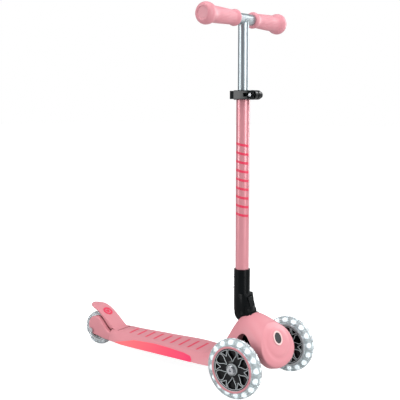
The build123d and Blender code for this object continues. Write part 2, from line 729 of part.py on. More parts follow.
# ---- all pieces ------------------------------------------------------------------------------------------
def all_parts():
    """Every node by name."""
    parts = {
        "deck_shell": deck_shell(),
        "underside_cover": underside_cover(),
        "deck_screws": deck_screws(),
        "deck_side_panels": both_sides(side_panel()),
        "deck_grip_pattern": grip_pattern(),
        "head_cover": head_cover(),
        "button_bezel": button_bezel(),
        "steering_head": steering_head(),
        "kingpin": kingpin(),
        "kingpin_nut": kingpin_nut(),
        "kingpin_washers": kingpin_washers(),
        "lock_button": lock_button(),
        "lock_spring": lock_spring(),
        "truck": truck(),
        "truck_bushings": truck_bushings(),
        "steering_springs": steering_springs(),
        "front_axle_bolts": front_axle_bolts(),
        "magnet_spacers": magnet_spacers(),
        "rear_tyre": tyre(0, WHEELBASE, REAR_WHEEL_R, REAR_WHEEL_R, 29.4),
        "rear_hub": wheel_hub(0, WHEELBASE, REAR_WHEEL_R, 29.4, 25.5, 13.5, 5, 5),
        "rear_bearings": bearings(0, WHEELBASE, REAR_WHEEL_R),
        "rear_axle": rear_axle(),
        "rear_axle_nut": rear_axle_nut(),
        "rear_spacers": rear_spacers(),
        "rear_middle_spacer": rear_middle_spacer(),
        "brake_pedal": brake_pedal(),
        "brake_pad": brake_pad(),
        "brake_badge": brake_badge(),
        "brake_pin": brake_pin(),
        "brake_spring": brake_spring(),
        "fold_base": fold_base(),
        "fold_pin": fold_pin(),
        "fold_knuckle": knuckle(),
        "fold_button": fold_button(),
        "fold_spring": fold_spring(),
        "socket_screws": socket_screws(),
        "outer_tube": outer_tube(),
        "tube_stripes": tube_stripes(),
        "top_bush": top_bush(),
        "clamp_collar": clamp_collar(),
        "clamp_bolt": clamp_bolt(),
        "clamp_nut": clamp_nut(),
        "clamp_pin": clamp_pin(),
        "clamp_lever": clamp_lever(),
        "inner_tube": inner_tube(),
        "slide_bush": slide_bush(),
        "crossbar": crossbar(),
    }
    for name, side in (("right", -1), ("left", 1)):
        mid = side * HALF_TRACK
        parts[f"{name}_tyre"] = front_tyre(side)
        parts[f"{name}_hub"] = wheel_hub(mid, 0, FRONT_WHEEL_R, 46.4, 41.5, 14.5, 6, 6)
        parts[f"{name}_trim_ring"] = trim_ring(side)
        parts[f"{name}_bearings"] = bearings(mid, 0, FRONT_WHEEL_R)
        parts[f"{name}_lights"] = wheel_lights(mid)
        parts[f"{name}_grip"] = grip(side)
    return parts


os.makedirs("parts", exist_ok=True)
for node, shape in all_parts().items():
    export_step(Pos(0, CENTRE_SHIFT, 0) * shape, f"parts/{node}.step")
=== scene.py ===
import json
from math import cos, exp, pi, radians, sin, sqrt

import bmesh
import bpy
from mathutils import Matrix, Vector

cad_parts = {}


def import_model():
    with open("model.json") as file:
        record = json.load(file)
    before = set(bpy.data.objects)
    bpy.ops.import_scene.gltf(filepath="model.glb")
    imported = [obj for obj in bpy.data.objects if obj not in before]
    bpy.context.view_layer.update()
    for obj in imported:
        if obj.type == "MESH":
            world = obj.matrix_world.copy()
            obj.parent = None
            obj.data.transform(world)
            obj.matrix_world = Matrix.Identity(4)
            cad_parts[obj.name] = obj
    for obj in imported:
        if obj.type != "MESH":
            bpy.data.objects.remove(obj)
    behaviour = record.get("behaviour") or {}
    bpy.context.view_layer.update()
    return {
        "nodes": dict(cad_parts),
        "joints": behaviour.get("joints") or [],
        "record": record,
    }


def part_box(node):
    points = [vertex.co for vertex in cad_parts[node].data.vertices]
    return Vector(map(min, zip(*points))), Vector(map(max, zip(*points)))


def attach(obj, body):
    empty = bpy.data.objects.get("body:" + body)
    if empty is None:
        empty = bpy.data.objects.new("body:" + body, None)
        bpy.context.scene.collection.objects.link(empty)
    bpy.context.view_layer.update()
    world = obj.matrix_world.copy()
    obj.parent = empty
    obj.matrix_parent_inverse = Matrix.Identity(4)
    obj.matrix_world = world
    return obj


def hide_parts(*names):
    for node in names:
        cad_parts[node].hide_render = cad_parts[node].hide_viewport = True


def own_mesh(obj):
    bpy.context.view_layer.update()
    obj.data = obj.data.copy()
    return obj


# Kick scooter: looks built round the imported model. Metres, +Z up, -Y is the way it rolls.

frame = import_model()
cad_nodes = frame["nodes"]

MM = 0.001
LAMPS = 16
FRONT_SPOKES = 6
REAR_SPOKES = 5
GRIP_FLUTES = 36
BUTTON_DEPTH = 45 * MM  # from the steering joint's origin forward to the button's face
BRAKE_PIN = (398, 43)


# ---- places, read from the frame ------------------------------------------------------------
def middle(node):
    """The centre of a CAD node's box."""
    low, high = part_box(node)
    return (low + high) / 2


def joint(name):
    """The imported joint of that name."""
    return next(j for j in frame["joints"] if j["name"] == name)


RIGHT_WHEEL = middle("right_tyre")
LEFT_WHEEL = middle("left_tyre")
REAR_WHEEL = middle("rear_tyre")
BAR = middle("crossbar")
AXLE_Y = RIGHT_WHEEL.y
FRONT_R = RIGHT_WHEEL.z
REAR_R = REAR_WHEEL.z

STEER_FORWARD = Vector(joint("lean_steer")["axis"]).normalized()
STEER_BACK = -STEER_FORWARD
STEER_UP = Vector((0, -STEER_BACK.z, STEER_BACK.y))
BUTTON = Vector(joint("lean_steer")["pos_m"]) + STEER_FORWARD * BUTTON_DEPTH


def steer_point(s, u, x=0.0):
    """The point s mm behind the button's face along the steering axis, u mm above that axis."""
    return BUTTON + STEER_BACK * s * MM + STEER_UP * u * MM + Vector((x * MM, 0, 0))


def at(x, y, z):
    """A point in mm, with y counted from the front axle."""
    return Vector((x * MM, AXLE_Y + y * MM, z * MM))


# ---- materials --------------------------------------------------------------------------------
def new_material(name, color, roughness, metallic=0.0):
    """A Principled material with its plain values set, and its nodes."""
    mat = bpy.data.materials.new(name)
    mat.use_nodes = True
    bsdf = mat.node_tree.nodes["Principled BSDF"]
    bsdf.inputs["Base Color"].default_value = (*color, 1)
    bsdf.inputs["Roughness"].default_value = roughness
    bsdf.inputs["Metallic"].default_value = metallic
    return mat, mat.node_tree, bsdf


def noise(tree, scale, detail=3.0, stretch=(1, 1, 1)):
    """A noise value over object coordinates."""
    coord = tree.nodes.new("ShaderNodeTexCoord")
    mapping = tree.nodes.new("ShaderNodeMapping")
    mapping.inputs["Scale"].default_value = stretch
    tex = tree.nodes.new("ShaderNodeTexNoise")
    tex.inputs["Scale"].default_value = scale
    tex.inputs["Detail"].default_value = detail
    tree.links.new(coord.outputs["Object"], mapping.inputs["Vector"])
    tree.links.new(mapping.outputs["Vector"], tex.inputs["Vector"])
    return tex.outputs["Fac"]


def bump(tree, bsdf, height, distance, strength=1.0):
    """Adds a bump from a height value."""
    node = tree.nodes.new("ShaderNodeBump")
    node.inputs["Strength"].default_value = strength
    node.inputs["Distance"].default_value = distance
    tree.links.new(height, node.inputs["Height"])
    tree.links.new(node.outputs["Normal"], bsdf.inputs["Normal"])


def vary(tree, bsdf, value, low, high, socket="Roughness"):
    """Spreads a value between two limits and sends it to a socket."""
    ramp = tree.nodes.new("ShaderNodeMapRange")
    ramp.inputs["To Min"].default_value = low
    ramp.inputs["To Max"].default_value = high
    tree.links.new(value, ramp.inputs["Value"])
    tree.links.new(ramp.outputs["Result"], bsdf.inputs[socket])


def tint(tree, bsdf, value, dark, light):
    """Colours a surface between two tones by a value."""
    mix = tree.nodes.new("ShaderNodeMix")
    mix.data_type = "RGBA"
    mix.inputs["A"].default_value = (*dark, 1)
    mix.inputs["B"].default_value = (*light, 1)
    tree.links.new(value, mix.inputs["Factor"])
    tree.links.new(mix.outputs["Result"], bsdf.inputs["Base Color"])


def moulded(name, dark, light, roughness, grain=0.00006, gloss=0.5):
    """Moulded plastic: a fine spark-eroded grain and slight unevenness in tone and gloss."""
    mat, tree, bsdf = new_material(name, light, roughness)
    bsdf.inputs["Specular IOR Level"].default_value = gloss
    fine = noise(tree, 900, 2)
    broad = noise(tree, 14, 3)
    tint(tree, bsdf, broad, dark, light)
    vary(tree, bsdf, fine, roughness - 0.05, roughness + 0.07)
    bump(tree, bsdf, fine, grain, 0.5)
    return mat


def metal(name, dark, light, roughness, stretch, streak=0.07):
    """Drawn or turned metal with fine streaks along one direction."""
    mat, tree, bsdf = new_material(name, light, roughness, 1.0)
    lines = noise(tree, 260, 4, stretch)
    tint(tree, bsdf, lines, dark, light)
    vary(tree, bsdf, lines, roughness - streak, roughness + streak)
    bump(tree, bsdf, lines, 0.00002, 0.4)
    return mat


def metal_paint(name, dark, light):
    """Glossy paint over aluminium flake: a soft metallic base under a clear coat."""
    mat, tree, bsdf = new_material(name, light, 0.32, 0.3)
    bsdf.inputs["Coat Weight"].default_value = 0.5
    bsdf.inputs["Coat Roughness"].default_value = 0.08
    tint(tree, bsdf, noise(tree, 1800, 2), dark, light)
    vary(tree, bsdf, noise(tree, 30, 3), 0.28, 0.36)
    bump(tree, bsdf, noise(tree, 1400, 2), 0.00001, 0.4)
    return mat


def clear_urethane(name):
    """Clear cast polyurethane with a faint cool tint and a scuffed skin."""
    mat, tree, bsdf = new_material(name, (0.84, 0.90, 0.92), 0.12)
    bsdf.inputs["Transmission Weight"].default_value = 0.72
    bsdf.inputs["IOR"].default_value = 1.36
    scuff = noise(tree, 320, 4)
    vary(tree, bsdf, scuff, 0.06, 0.2)
    bump(tree, bsdf, noise(tree, 60, 2), 0.0002, 0.25)
    return mat


def lamp_lens():
    """Frosted lens with a soft, slightly uneven glow."""
    mat, tree, bsdf = new_material("lamp_lens", (0.95, 0.98, 1.0), 0.3)
    bsdf.inputs["Emission Color"].default_value = (0.93, 0.98, 1.0, 1)
    vary(tree, bsdf, noise(tree, 120, 2), 0.6, 0.9, "Emission Strength")
    return mat


def panel_coral():
    """Glossy insert: soft coral at the back, deeper pink towards the front."""
    mat, tree, bsdf = new_material("panel_coral", (0.9, 0.1, 0.17), 0.28)
    coord = tree.nodes.new("ShaderNodeTexCoord")
    split = tree.nodes.new("ShaderNodeSeparateXYZ")
    tree.links.new(coord.outputs["Object"], split.inputs["Vector"])
    ramp = tree.nodes.new("ShaderNodeMapRange")
    ramp.inputs["From Min"].default_value = 0.12
    ramp.inputs["From Max"].default_value = -0.09
    tree.links.new(split.outputs["Y"], ramp.inputs["Value"])
    tint(tree, bsdf, ramp.outputs["Result"], (0.95, 0.165, 0.18), (0.84, 0.03, 0.13))
    bump(tree, bsdf, noise(tree, 500, 2), 0.00003, 0.5)
    return mat


PINK = ((0.635, 0.235, 0.265), (0.70, 0.283, 0.315))
BLACK = ((0.002, 0.003, 0.0035), (0.005, 0.006, 0.0065))
M = {
    "pink_plastic": moulded("pink_plastic", *PINK, 0.4, gloss=0.35),
    "pink_paint": metal_paint("pink_paint", (0.66, 0.25, 0.285), (0.72, 0.29, 0.325)),
    "pink_rubber": moulded(
        "pink_rubber", (0.62, 0.235, 0.272), (0.69, 0.30, 0.34), 0.36, 0.0002, 0.35,
    ),
    "coral_rubber": moulded("coral_rubber", (0.70, 0.03, 0.085), (0.78, 0.05, 0.11), 0.4),
    "pale_plastic": moulded("pale_plastic", (0.84, 0.58, 0.56), (0.9, 0.66, 0.64), 0.18),
    "black_plastic": moulded("black_plastic", *BLACK, 0.28, 0.00008, 0.1),
    "dark_button": moulded("dark_button", (0.02, 0.021, 0.023), (0.034, 0.036, 0.038), 0.34),
    "gloss_black": moulded("gloss_black", *BLACK, 0.17, 0.00003, 0.3),
    "black_metal": moulded("black_metal", *BLACK, 0.3, 0.00005, 0.2),
    "hub_plastic": moulded(
        "hub_plastic", (0.003, 0.003, 0.004), (0.007, 0.008, 0.009), 0.2, 0.00002, 0.25,
    ),
    # Grey of the hubs' rims and bosses, and also painted highlight: the same grey colours the thin beads
    # that stand for light caught on the spoke edges.
    "grey_and_edge_highlight": moulded("grey_and_edge_highlight", (0.46, 0.50, 0.51), (0.60, 0.64, 0.65), 0.18, 0.00002, 0.7),
    "core_web": moulded("core_web", (0.42, 0.48, 0.48), (0.66, 0.71, 0.71), 0.35),
    "clear_tyre": clear_urethane("clear_tyre"),
    "light": lamp_lens(),
    "steel": metal("steel", (0.5, 0.51, 0.53), (0.7, 0.71, 0.73), 0.24, (1, 1, 1)),
    "spring_steel": metal("spring_steel", (0.4, 0.4, 0.42), (0.55, 0.55, 0.57), 0.3, (1, 1, 1)),
    "bearing_bronze": metal("bearing_bronze", (0.5, 0.35, 0.16), (0.65, 0.46, 0.22), 0.35, (1, 1, 1)),
    "magnet_metal": metal("magnet_metal", (0.35, 0.35, 0.37), (0.5, 0.5, 0.52), 0.3, (1, 1, 1)),
    "silver_tube": metal(
        "silver_tube", (0.36, 0.41, 0.43), (0.42, 0.47, 0.49), 0.38, (8, 8, 0.15), 0.03,
    ),
    "silver_bar": metal(
        "silver_bar", (0.42, 0.47, 0.49), (0.48, 0.53, 0.55), 0.42, (0.15, 8, 8), 0.03,
    ),
    "panel_coral": panel_coral(),
}
for row in frame["record"]["subparts"]:
    node_mesh = cad_nodes[row["node"]].data
    node_mesh.materials.clear()
    node_mesh.materials.append(M[row["material_slot"]])


# ---- mesh helpers -----------------------------------------------------------------------------
def turn_outwards(mesh):
    """Points every face of a closed mesh outwards."""
    bm = bmesh.new()
    bm.from_mesh(mesh)
    bmesh.ops.recalc_face_normals(bm, faces=bm.faces)
    bm.to_mesh(mesh)
    bm.free()


def piece(name, body, verts, faces, materials, replaces=(), face_slots=None):
    """A smooth-shaded mesh object that rides on a body and stands for some CAD nodes."""
    mesh = bpy.data.meshes.new(name)
    mesh.from_pydata([tuple(v) for v in verts], [], faces)
    for material in materials:
        mesh.materials.append(M[material])
    if face_slots:
        mesh.polygons.foreach_set("material_index", face_slots)
    turn_outwards(mesh)
    mesh.polygons.foreach_set("use_smooth", [True] * len(mesh.polygons))
    mesh.set_sharp_from_angle(angle=radians(38))
    obj = bpy.data.objects.new(name, mesh)
    bpy.context.collection.objects.link(obj)
    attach(obj, body)
    if replaces:
        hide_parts(*replaces)
    return obj


class Build:
    """Collects several closed forms into one mesh."""

    def __init__(self):
        self.verts, self.faces, self.slots = [], [], []

    def loops(self, loops, slot=0, around=True):
        """Joins point loops one after the other; around also joins the last to the first."""
        base, count = len(self.verts), len(loops[0])
        for loop in loops:
            self.verts.extend(loop)
        rows = len(loops)
        for i in range(rows if around else rows - 1):
            for j in range(count):
                k, m = (j + 1) % count, (i + 1) % rows
                quad = (i * count + j, i * count + k, m * count + k, m * count + j)
                self.faces.append(tuple(base + q for q in quad))
                self.slots.append(slot)
        if not around:
            self.faces.append(tuple(base + j for j in reversed(range(count))))
            last = base + (rows - 1) * count
            self.faces.append(tuple(last + j for j in range(count)))
            self.slots.extend((slot, slot))

    def lathe(self, centre, profile, steps=96, slot=0):
        """Turns a closed profile of (x, radius) in mm about the X axis through a centre."""
        self.loops([turned(centre, profile, 2 * pi * k / steps) for k in range(steps)], slot)

    def tube(self, points, radius, slot=0, sides=8, closed=True, across=Vector((1, 0, 0))):
        """A thin round bead along a path, in metres."""
        loops, count = [], len(points)
        for i, point in enumerate(points):
            ahead = points[(i + 1) % count] if closed or i < count - 1 else point
            behind = points[i - 1] if closed or i > 0 else point
            along = (ahead - behind).normalized()
            side = along.cross(across).normalized()
            up = side.cross(along)
            angles = [2 * pi * k / sides for k in range(sides)]
            loops.append([point + (side * cos(a) + up * sin(a)) * radius for a in angles])
        self.loops(loops, slot, closed)

    def make(self, name, body, materials, replaces=()):
        """Turns the collected forms into a piece."""
        return piece(name, body, self.verts, self.faces, materials, replaces, self.slots)


def turned(centre, profile, angle):
    """A profile of (x, radius) in mm, turned to an angle about the X axis."""
    c, s = cos(angle), sin(angle)
    return [centre + Vector((x, r * s, r * c)) * MM for x, r in profile]


def spline_value(a, b, c, d, t):
    """The Catmull-Rom value between b and c, with a and d as the next ones out."""
    bend = 2 * a - 5 * b + 4 * c - d
    twist = 3 * b - a - 3 * c + d
    return 0.5 * (2 * b + (c - a) * t + bend * t * t + twist * t ** 3)


def smooth_line(points, steps):
    """A Catmull-Rom line through points of any number of values."""
    out, n = [], len(points)
    for i in range(n - 1):
        near = points[max(i - 1, 0)], points[i], points[i + 1], points[min(i + 2, n - 1)]
        for k in range(steps):
            out.append(tuple(spline_value(a, b, c, d, k / steps) for a, b, c, d in zip(*near)))
    return out + [tuple(points[-1])]


def smoothstep(low, high, value):
    """0 below low, 1 above high, smooth between."""
    t = min(max((value - low) / (high - low), 0.0), 1.0)
    return t * t * (3 - 2 * t)


def rounded(profile, radius, steps=3):
    """A closed profile with each corner cut to an arc of about the given radius."""
    out, n = [], len(profile)
    for i, p in enumerate(profile):
        here, prev, nxt = Vector(p), Vector(profile[i - 1]), Vector(profile[(i + 1) % n])
        to_prev, to_next = prev - here, nxt - here
        cut = min(radius, to_prev.length * 0.45, to_next.length * 0.45)
        a, b = here + to_prev.normalized() * cut, here + to_next.normalized() * cut
        for k in range(steps + 1):
            t = k / steps
            out.append(tuple(a * (1 - t) ** 2 + here * 2 * t * (1 - t) + b * t * t))
    return out


def refined(node, name, body, width, slot, look=None):
    """A copy of a CAD node with its edges rounded off, which stands for that node."""
    mesh = cad_nodes[node].data.copy()
    mesh.name = name
    mesh.materials[0] = M[look or slot]
    bm = bmesh.new()
    bm.from_mesh(mesh)
    bmesh.ops.remove_doubles(bm, verts=bm.verts, dist=2e-6)
    flat = radians(0.6)
    bmesh.ops.dissolve_limit(bm, angle_limit=flat, verts=bm.verts, edges=bm.edges)
    bm.to_mesh(mesh)
    bm.free()
    obj = bpy.data.objects.new(name, mesh)
    bpy.context.collection.objects.link(obj)
    bevel = obj.modifiers.new("round_edges", "BEVEL")
    bevel.width = width * MM
    bevel.segments = 3
    bevel.limit_method = "ANGLE"
    bevel.angle_limit = radians(40)
    bevel.use_clamp_overlap = True
    mesh.polygons.foreach_set("use_smooth", [True] * len(mesh.polygons))
    mesh.set_sharp_from_angle(angle=radians(50))
    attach(obj, body)
    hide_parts(node)
    return obj


# ---- wheels --------------------------------------------------------------------------------------
def tyre_profile(outer, inner, half_w):
    """The cross-section of a tyre: a round tread and flat bead sides."""
    shoulder = outer - 7.0
    crown = []
    for k in range(17):
        a = pi * k / 16
        crown.append((-half_w * cos(a), shoulder + (outer - shoulder) * sin(a)))
    return crown + rounded([(half_w, inner), (-half_w, inner)], 0.8)


def big_window(t):
    """Half angle of a petal window in a six-spoked hub, from the boss (t 0) to the rim (t 1)."""
    return radians(4.0 + 13.5 * smoothstep(0, 0.65, t) - 5.0 * smoothstep(0.7, 1.0, t))


def small_window(t):
    """Half angle of the window inside a spoke's fork, in a six-spoked hub."""
    return radians(15.0) * max((t - 0.42) / 0.58, 0.0) ** 1.3


def window_depth(radius, angle, spokes, inner, outer):
    """How far a hub's face is sunk at a spot, 0 to 1: windows between forked spokes."""
    pitch = 2 * pi / spokes
    near = abs((angle + pitch / 2) % pitch - pitch / 2)
    fork = abs(angle % pitch - pitch / 2)
    t = min(max((radius - inner) / (outer - inner), 0.0), 1.0)
    wide, narrow = big_window(t) * 6 / spokes, small_window(t) * 6 / spokes
    blur = radians(1.2)
    big = 1 - smoothstep(wide - blur, wide + blur, near)
    small = 1 - smoothstep(narrow - blur, narrow + blur, fork) if narrow > blur else 0.0
    radial = smoothstep(inner, inner + 1.5, radius) * (1 - smoothstep(outer - 1.5, outer, radius))
    return max(big, small) * radial


def window_outline(spokes, index, kind, inner, outer):
    """The outline of one window as (radius, angle) points."""
    pitch = 2 * pi / spokes
    first, half_angle, centre = 0.04, big_window, pitch * index
    if kind == "small":
        first, half_angle, centre = 0.5, small_window, pitch * (index + 0.5)
    steps = [first + (0.96 - first) * k / 10 for k in range(11)]
    sides = [(inner + (outer - inner) * t, half_angle(t) * 6 / spokes) for t in steps]
    left = [(r, centre - h) for r, h in sides]
    right = [(r, centre + h) for r, h in sides]
    rim, half = sides[-1]
    arc = [(rim, centre - half + 2 * half * k / 5) for k in range(1, 5)]
    return left + arc + right[::-1]


def hub_face(build, centre, side, spokes, boss, rim, face_x, dish):
    """One moulded face of a hub, with forked spokes, sunk windows, and thin grey beads on the window edges
    that paint the highlights of the spoke edges.
    """
    steps, rings = 240, 26

    def height(radius):
        hollow = dish * (1 - smoothstep(boss, rim, radius))
        return face_x - hollow + 1.6 * smoothstep(boss + 6, boss, radius)

    loops = []
    for k in range(steps):
        angle = 2 * pi * k / steps
        front = []
        for i in range(rings + 1):
            radius = boss - 2 + (rim - boss + 2) * i / rings
            sunk = 5.0 * window_depth(radius, angle, spokes, boss + 3, rim - 1.5)
            front.append((side * (height(radius) - sunk), radius))
        back = [(side * (face_x - 9.5), rim), (side * (face_x - 9.5), boss - 2)]
        loops.append(turned(centre, front + back, angle))
    build.loops(loops, 0)
    for index in range(spokes):
        for kind in ("big", "small"):
            path = [
                turned(centre, [(side * (height(r) + 0.05), r)], a)[0]
                for r, a in window_outline(spokes, index, kind, boss + 3, rim - 1.5)
            ]
            # Grey beads on each window's edge: painted highlights where the spoke edges catch the light.
            build.tube(path, 0.7 * MM, 1, 6)


def lamp_loops(centre, angle):
    """One oval lamp across the tyre, at an angle round the wheel."""
    radial = Vector((0, sin(angle), cos(angle)))
    along = Vector((0, cos(angle), -sin(angle)))
    loops = []
    for i in range(9):
        t = -1 + 2 * i / 8
        size = sqrt(max(1 - t * t, 0.02))
        mid = centre + Vector((t * 9.2 * MM, 0, 0)) + radial * 52.2 * MM
        loop = []
        for j in range(12):
            a = 2 * pi * j / 12
            loop.append(mid + (radial * 4.0 * cos(a) + along * 6.0 * sin(a)) * size * MM)
        loops.append(loop)
    return loops


def front_wheel(side_name, side):
    """A light-up front wheel: clear tyre, lamps, forked hub and coloured ring."""
    centre = RIGHT_WHEEL if side < 0 else LEFT_WHEEL
    body = side_name + "_wheel"
    build = Build()
    build.lathe(centre, tyre_profile(FRONT_R / MM, 46.6, 12.0), 128)
    build.make(side_name + "_clear_tyre", body, ["clear_tyre"], [side_name + "_tyre"])

    lamps = Build()
    for k in range(LAMPS):
        lamps.loops(lamp_loops(centre, 2 * pi * (k + 0.3) / LAMPS), 0, False)
    lamps.lathe(centre, rounded([(-1.5, 46.8), (1.5, 46.8), (1.5, 58.4), (-1.5, 58.4)], 0.5), 96, 1)
    lamps.make(side_name + "_lamps", body, ["light", "core_web"], [side_name + "_lights"])

    hub = Build()
    rim = [
        (-11, 42.2), (11, 42.2), (11, 46.4), (6, 46.4), (4, 45.4), (-4, 45.4), (-6, 46.4), (-11, 46.4),
    ]
    hub.lathe(centre, rounded(rim, 0.6), 128, 1)
    for face in (-1, 1):
        hub_face(hub, centre, face, FRONT_SPOKES, 12.5, 42.4, 9.6, 3.2)
    hub.lathe(centre, rounded([(-11.5, 8.8), (-11.5, 12.0), (11.5, 12.0), (11.5, 8.8)], 0.7), 64, 1)
    hub.make(side_name + "_forked_hub", body, ["hub_plastic", "grey_and_edge_highlight"], [side_name + "_hub"])

    ring = Build()
    low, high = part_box(side_name + "_trim_ring")
    x0, x1 = (low.x - centre.x) / MM, (high.x - centre.x) / MM
    ring.lathe(centre, rounded([(x0, 42.7), (x1, 42.7), (x1, 46.6), (x0, 46.6)], 0.8), 128)
    ring.make(side_name + "_pink_ring", body, ["pink_plastic"], [side_name + "_trim_ring"])


def rear_wheel():
    """The small rear wheel: a clear tyre on a forked hub."""
    build = Build()
    build.lathe(REAR_WHEEL, tyre_profile(REAR_R / MM, 30.2, 12.0), 112)
    build.make("rear_clear_tyre", "rear_wheel", ["clear_tyre"], ["rear_tyre"])
    hub = Build()
    rim = [
        (-11, 26.2), (11, 26.2), (11, 30.0), (5, 30.0), (3.5, 29.2), (-3.5, 29.2), (-5, 30.0), (-11, 30.0),
    ]
    hub.lathe(REAR_WHEEL, rounded(rim, 0.6), 112, 1)
    for face in (-1, 1):
        hub_face(hub, REAR_WHEEL, face, REAR_SPOKES, 12.5, 26.4, 9.4, 2.4)
    hub.lathe(REAR_WHEEL, rounded([(-11.4, 8.8), (-11.4, 12.0), (11.4, 12.0), (11.4, 8.8)], 0.7), 64, 1)
    hub.make("rear_forked_hub", "rear_wheel", ["hub_plastic", "grey_and_edge_highlight"], ["rear_hub"])


# ---- head cover ------------------------------------------------------------------------------------
# Each row: s along the steering axis, half width, top, widest line and bottom, in mm.
HEAD_ROWS = [
    (0, 36, 21, -10, -35), (4, 57, 28, -19, -54), (10, 59.2, 36, -19, -58.5),
    (18, 57.6, 46, -15, -58.5), (30, 54.5, 58, -9.5, -57), (42, 52.4, 64.5, -4.5, -54),
    (60, 50.5, 65.3, -2, -49.5), (80, 50, 54, -1, -46), (100, 51, 38, -4, -42),
    (122, 54, 20, -10, -38), (140, 56, 6, -14, -36),
]
HEAD_WALL = 3.0
FACE_RINGS = (0.03, 0.25, 0.5, 0.75, 0.9)  # the front face's inner rings, as shares of its first row


def head_loop(row, inset, steps=120):
    """One cross-section of the head, square to the steering axis."""
    s, half_w, top, mid, bottom = row
    loop = []
    for k in range(steps):
        a = 2 * pi * k / steps
        reach = top - mid if sin(a) > 0 else mid - bottom
        x, u = (half_w - inset) * cos(a), mid + (reach - inset) * sin(a)
        spread = sqrt((x / 50.0) ** 2 + ((u + 8.0) / 42.0) ** 2)
        front = 1 - smoothstep(9, 16, s)
        ridge = 0.7 * exp(-((spread - 1.0) / 0.05) ** 2)
        dish = 1.3 * exp(-((spread - 0.78) / 0.14) ** 2)
        lift = 0 if inset else (ridge - dish) * front
        loop.append(steer_point(s + inset - lift, u, x))
    return loop


def cutter(loops):
    """A closed form between two loops, as a mesh object for cutting."""
    build = Build()
    build.loops(loops, 0, False)
    mesh = bpy.data.meshes.new("cutter")
    mesh.from_pydata([tuple(v) for v in build.verts], [], build.faces)
    turn_outwards(mesh)
    obj = bpy.data.objects.new("cutter", mesh)
    bpy.context.collection.objects.link(obj)
    return obj


def prism(points, x0, x1):
    """A cutter with a side-view outline, between two X positions."""
    return cutter([[at(x, y, z) for y, z in points] for x in (x0, x1)])


def steer_disc(radius, s0, s1, steps=64):
    """A round cutter along the steering axis."""
    angles = [2 * pi * k / steps for k in range(steps)]
    return cutter([[steer_point(s, radius * sin(a), radius * cos(a)) for a in angles] for s in (s0, s1)])


def cut(obj, cutters):
    """Cuts each cutter out of the object's mesh and removes the cutters."""
    for tool in cutters:
        mod = obj.modifiers.new("cut", "BOOLEAN")
        mod.operation = "DIFFERENCE"
        mod.solver = "EXACT"
        mod.object = tool
    graph = bpy.context.evaluated_depsgraph_get()
    mesh = bpy.data.meshes.new_from_object(obj.evaluated_get(graph))
    obj.modifiers.clear()
    obj.data = mesh
    for tool in cutters:
        bpy.data.objects.remove(tool)


def face_rings(row, inset):
    """The rings that close the head's front face, from its middle outwards."""
    s, half_w, top, mid, bottom = row
    centre = (top + bottom) / 2
    rings = []
    for share in FACE_RINGS:
        small = (s, half_w * share, *(centre + (u - centre) * share for u in (top, mid, bottom)))
        ring = head_loop(small, inset * share * 0.99)
        rings.append([p + STEER_BACK * inset * (1 - share) * MM for p in ring])
    return rings


def head_cover():
    """The rounded cover over the front: a moulded shell with side arches."""
    rows = smooth_line(HEAD_ROWS, 7)
    build = Build()
    for inset in (0, HEAD_WALL):
        build.loops(face_rings(rows[0], inset) + [head_loop(row, inset) for row in rows], 0, False)
    obj = build.make("head_cover_shell", "deck", ["pink_plastic"], ["head_cover"])
    arch = [
        (-34, 20), (-30, 50), (-19, 76), (-3, 98), (9, 111), (20, 114), (30, 108), (38, 92), (46, 62),
        (50, 20),
    ]
    arch = smooth_line(arch, 5)
    opening = [
        (24.5, 200), (24.5, 135), (40, 127.2), (48, 123.6), (56, 119.8), (66, 118), (92, 118), (92, 200),
    ]
    cut(obj, [
        prism(arch, -80, 80),
        prism([(76, -10), (76, 200), (160, 200), (160, -10)], -90, 90),
        prism([(-90, -20), (-90, 34), (160, 34), (160, -20)], -90, 90),
        prism(opening, -18, 18),
        prism([(20.4, 90), (20.4, 170), (30, 170), (30, 90)], -15.1, 15.1),
        steer_disc(15.0, -12, 14),
    ])
    bevel = obj.modifiers.new("rim", "BEVEL")
    bevel.width = 0.8 * MM
    bevel.segments = 2
    bevel.limit_method = "ANGLE"
    bevel.angle_limit = radians(50)
    obj.data.polygons.foreach_set("use_smooth", [True] * len(obj.data.polygons))
    obj.data.set_sharp_from_angle(angle=radians(50))


def button_spring():
    """The steering lock's spring, copied to a mesh of its own; the real spring shortens while its button
    is pressed.
    """
    mesh = cad_nodes["lock_spring"].data.copy()
    mesh.name = "button_spring"
    obj = bpy.data.objects.new("button_spring", mesh)
    bpy.context.collection.objects.link(obj)
    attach(obj, "deck")
    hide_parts("lock_spring")
    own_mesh(obj)


# ---- handlebar -------------------------------------------------------------------------------------
def grip(side_name, side):
    """A rubber grip with a bulb end, fine flutes and a sunk end face."""
    outer = [
        (27.6, 13.2), (29.5, 15.6), (32.5, 16.6), (36, 16.2), (40, 14.8), (46, 14.4), (62, 14.9),
        (78, 15.5), (92, 15.9), (105, 16.2), (113, 17.4), (118, 19.6), (122.5, 20.9), (128, 21.4),
        (132.5, 20.6), (136, 18.6), (138.4, 16.0), (139.2, 13.2), (138.6, 12.2), (137.8, 11.4),
    ]
    outer = smooth_line(outer, 4)
    closing = [(137.6, 0.2), (100, 0.2), (100, 11.1), (27.6, 11.1)]
    steps = 144
    loops = []
    for k in range(steps):
        a = 2 * pi * k / steps
        loop = []
        for x, r in outer:
            flute = smoothstep(44, 50, x) * (1 - smoothstep(100, 110, x))
            loop.append((side * x, r + 0.22 * flute * cos(GRIP_FLUTES * a)))
        loops.append(turned(BAR, loop + [(side * x, r) for x, r in closing], a))
    build = Build()
    build.loops(loops)
    build.make(side_name + "_rubber_grip", "handlebar", ["pink_rubber"], [side_name + "_grip"])


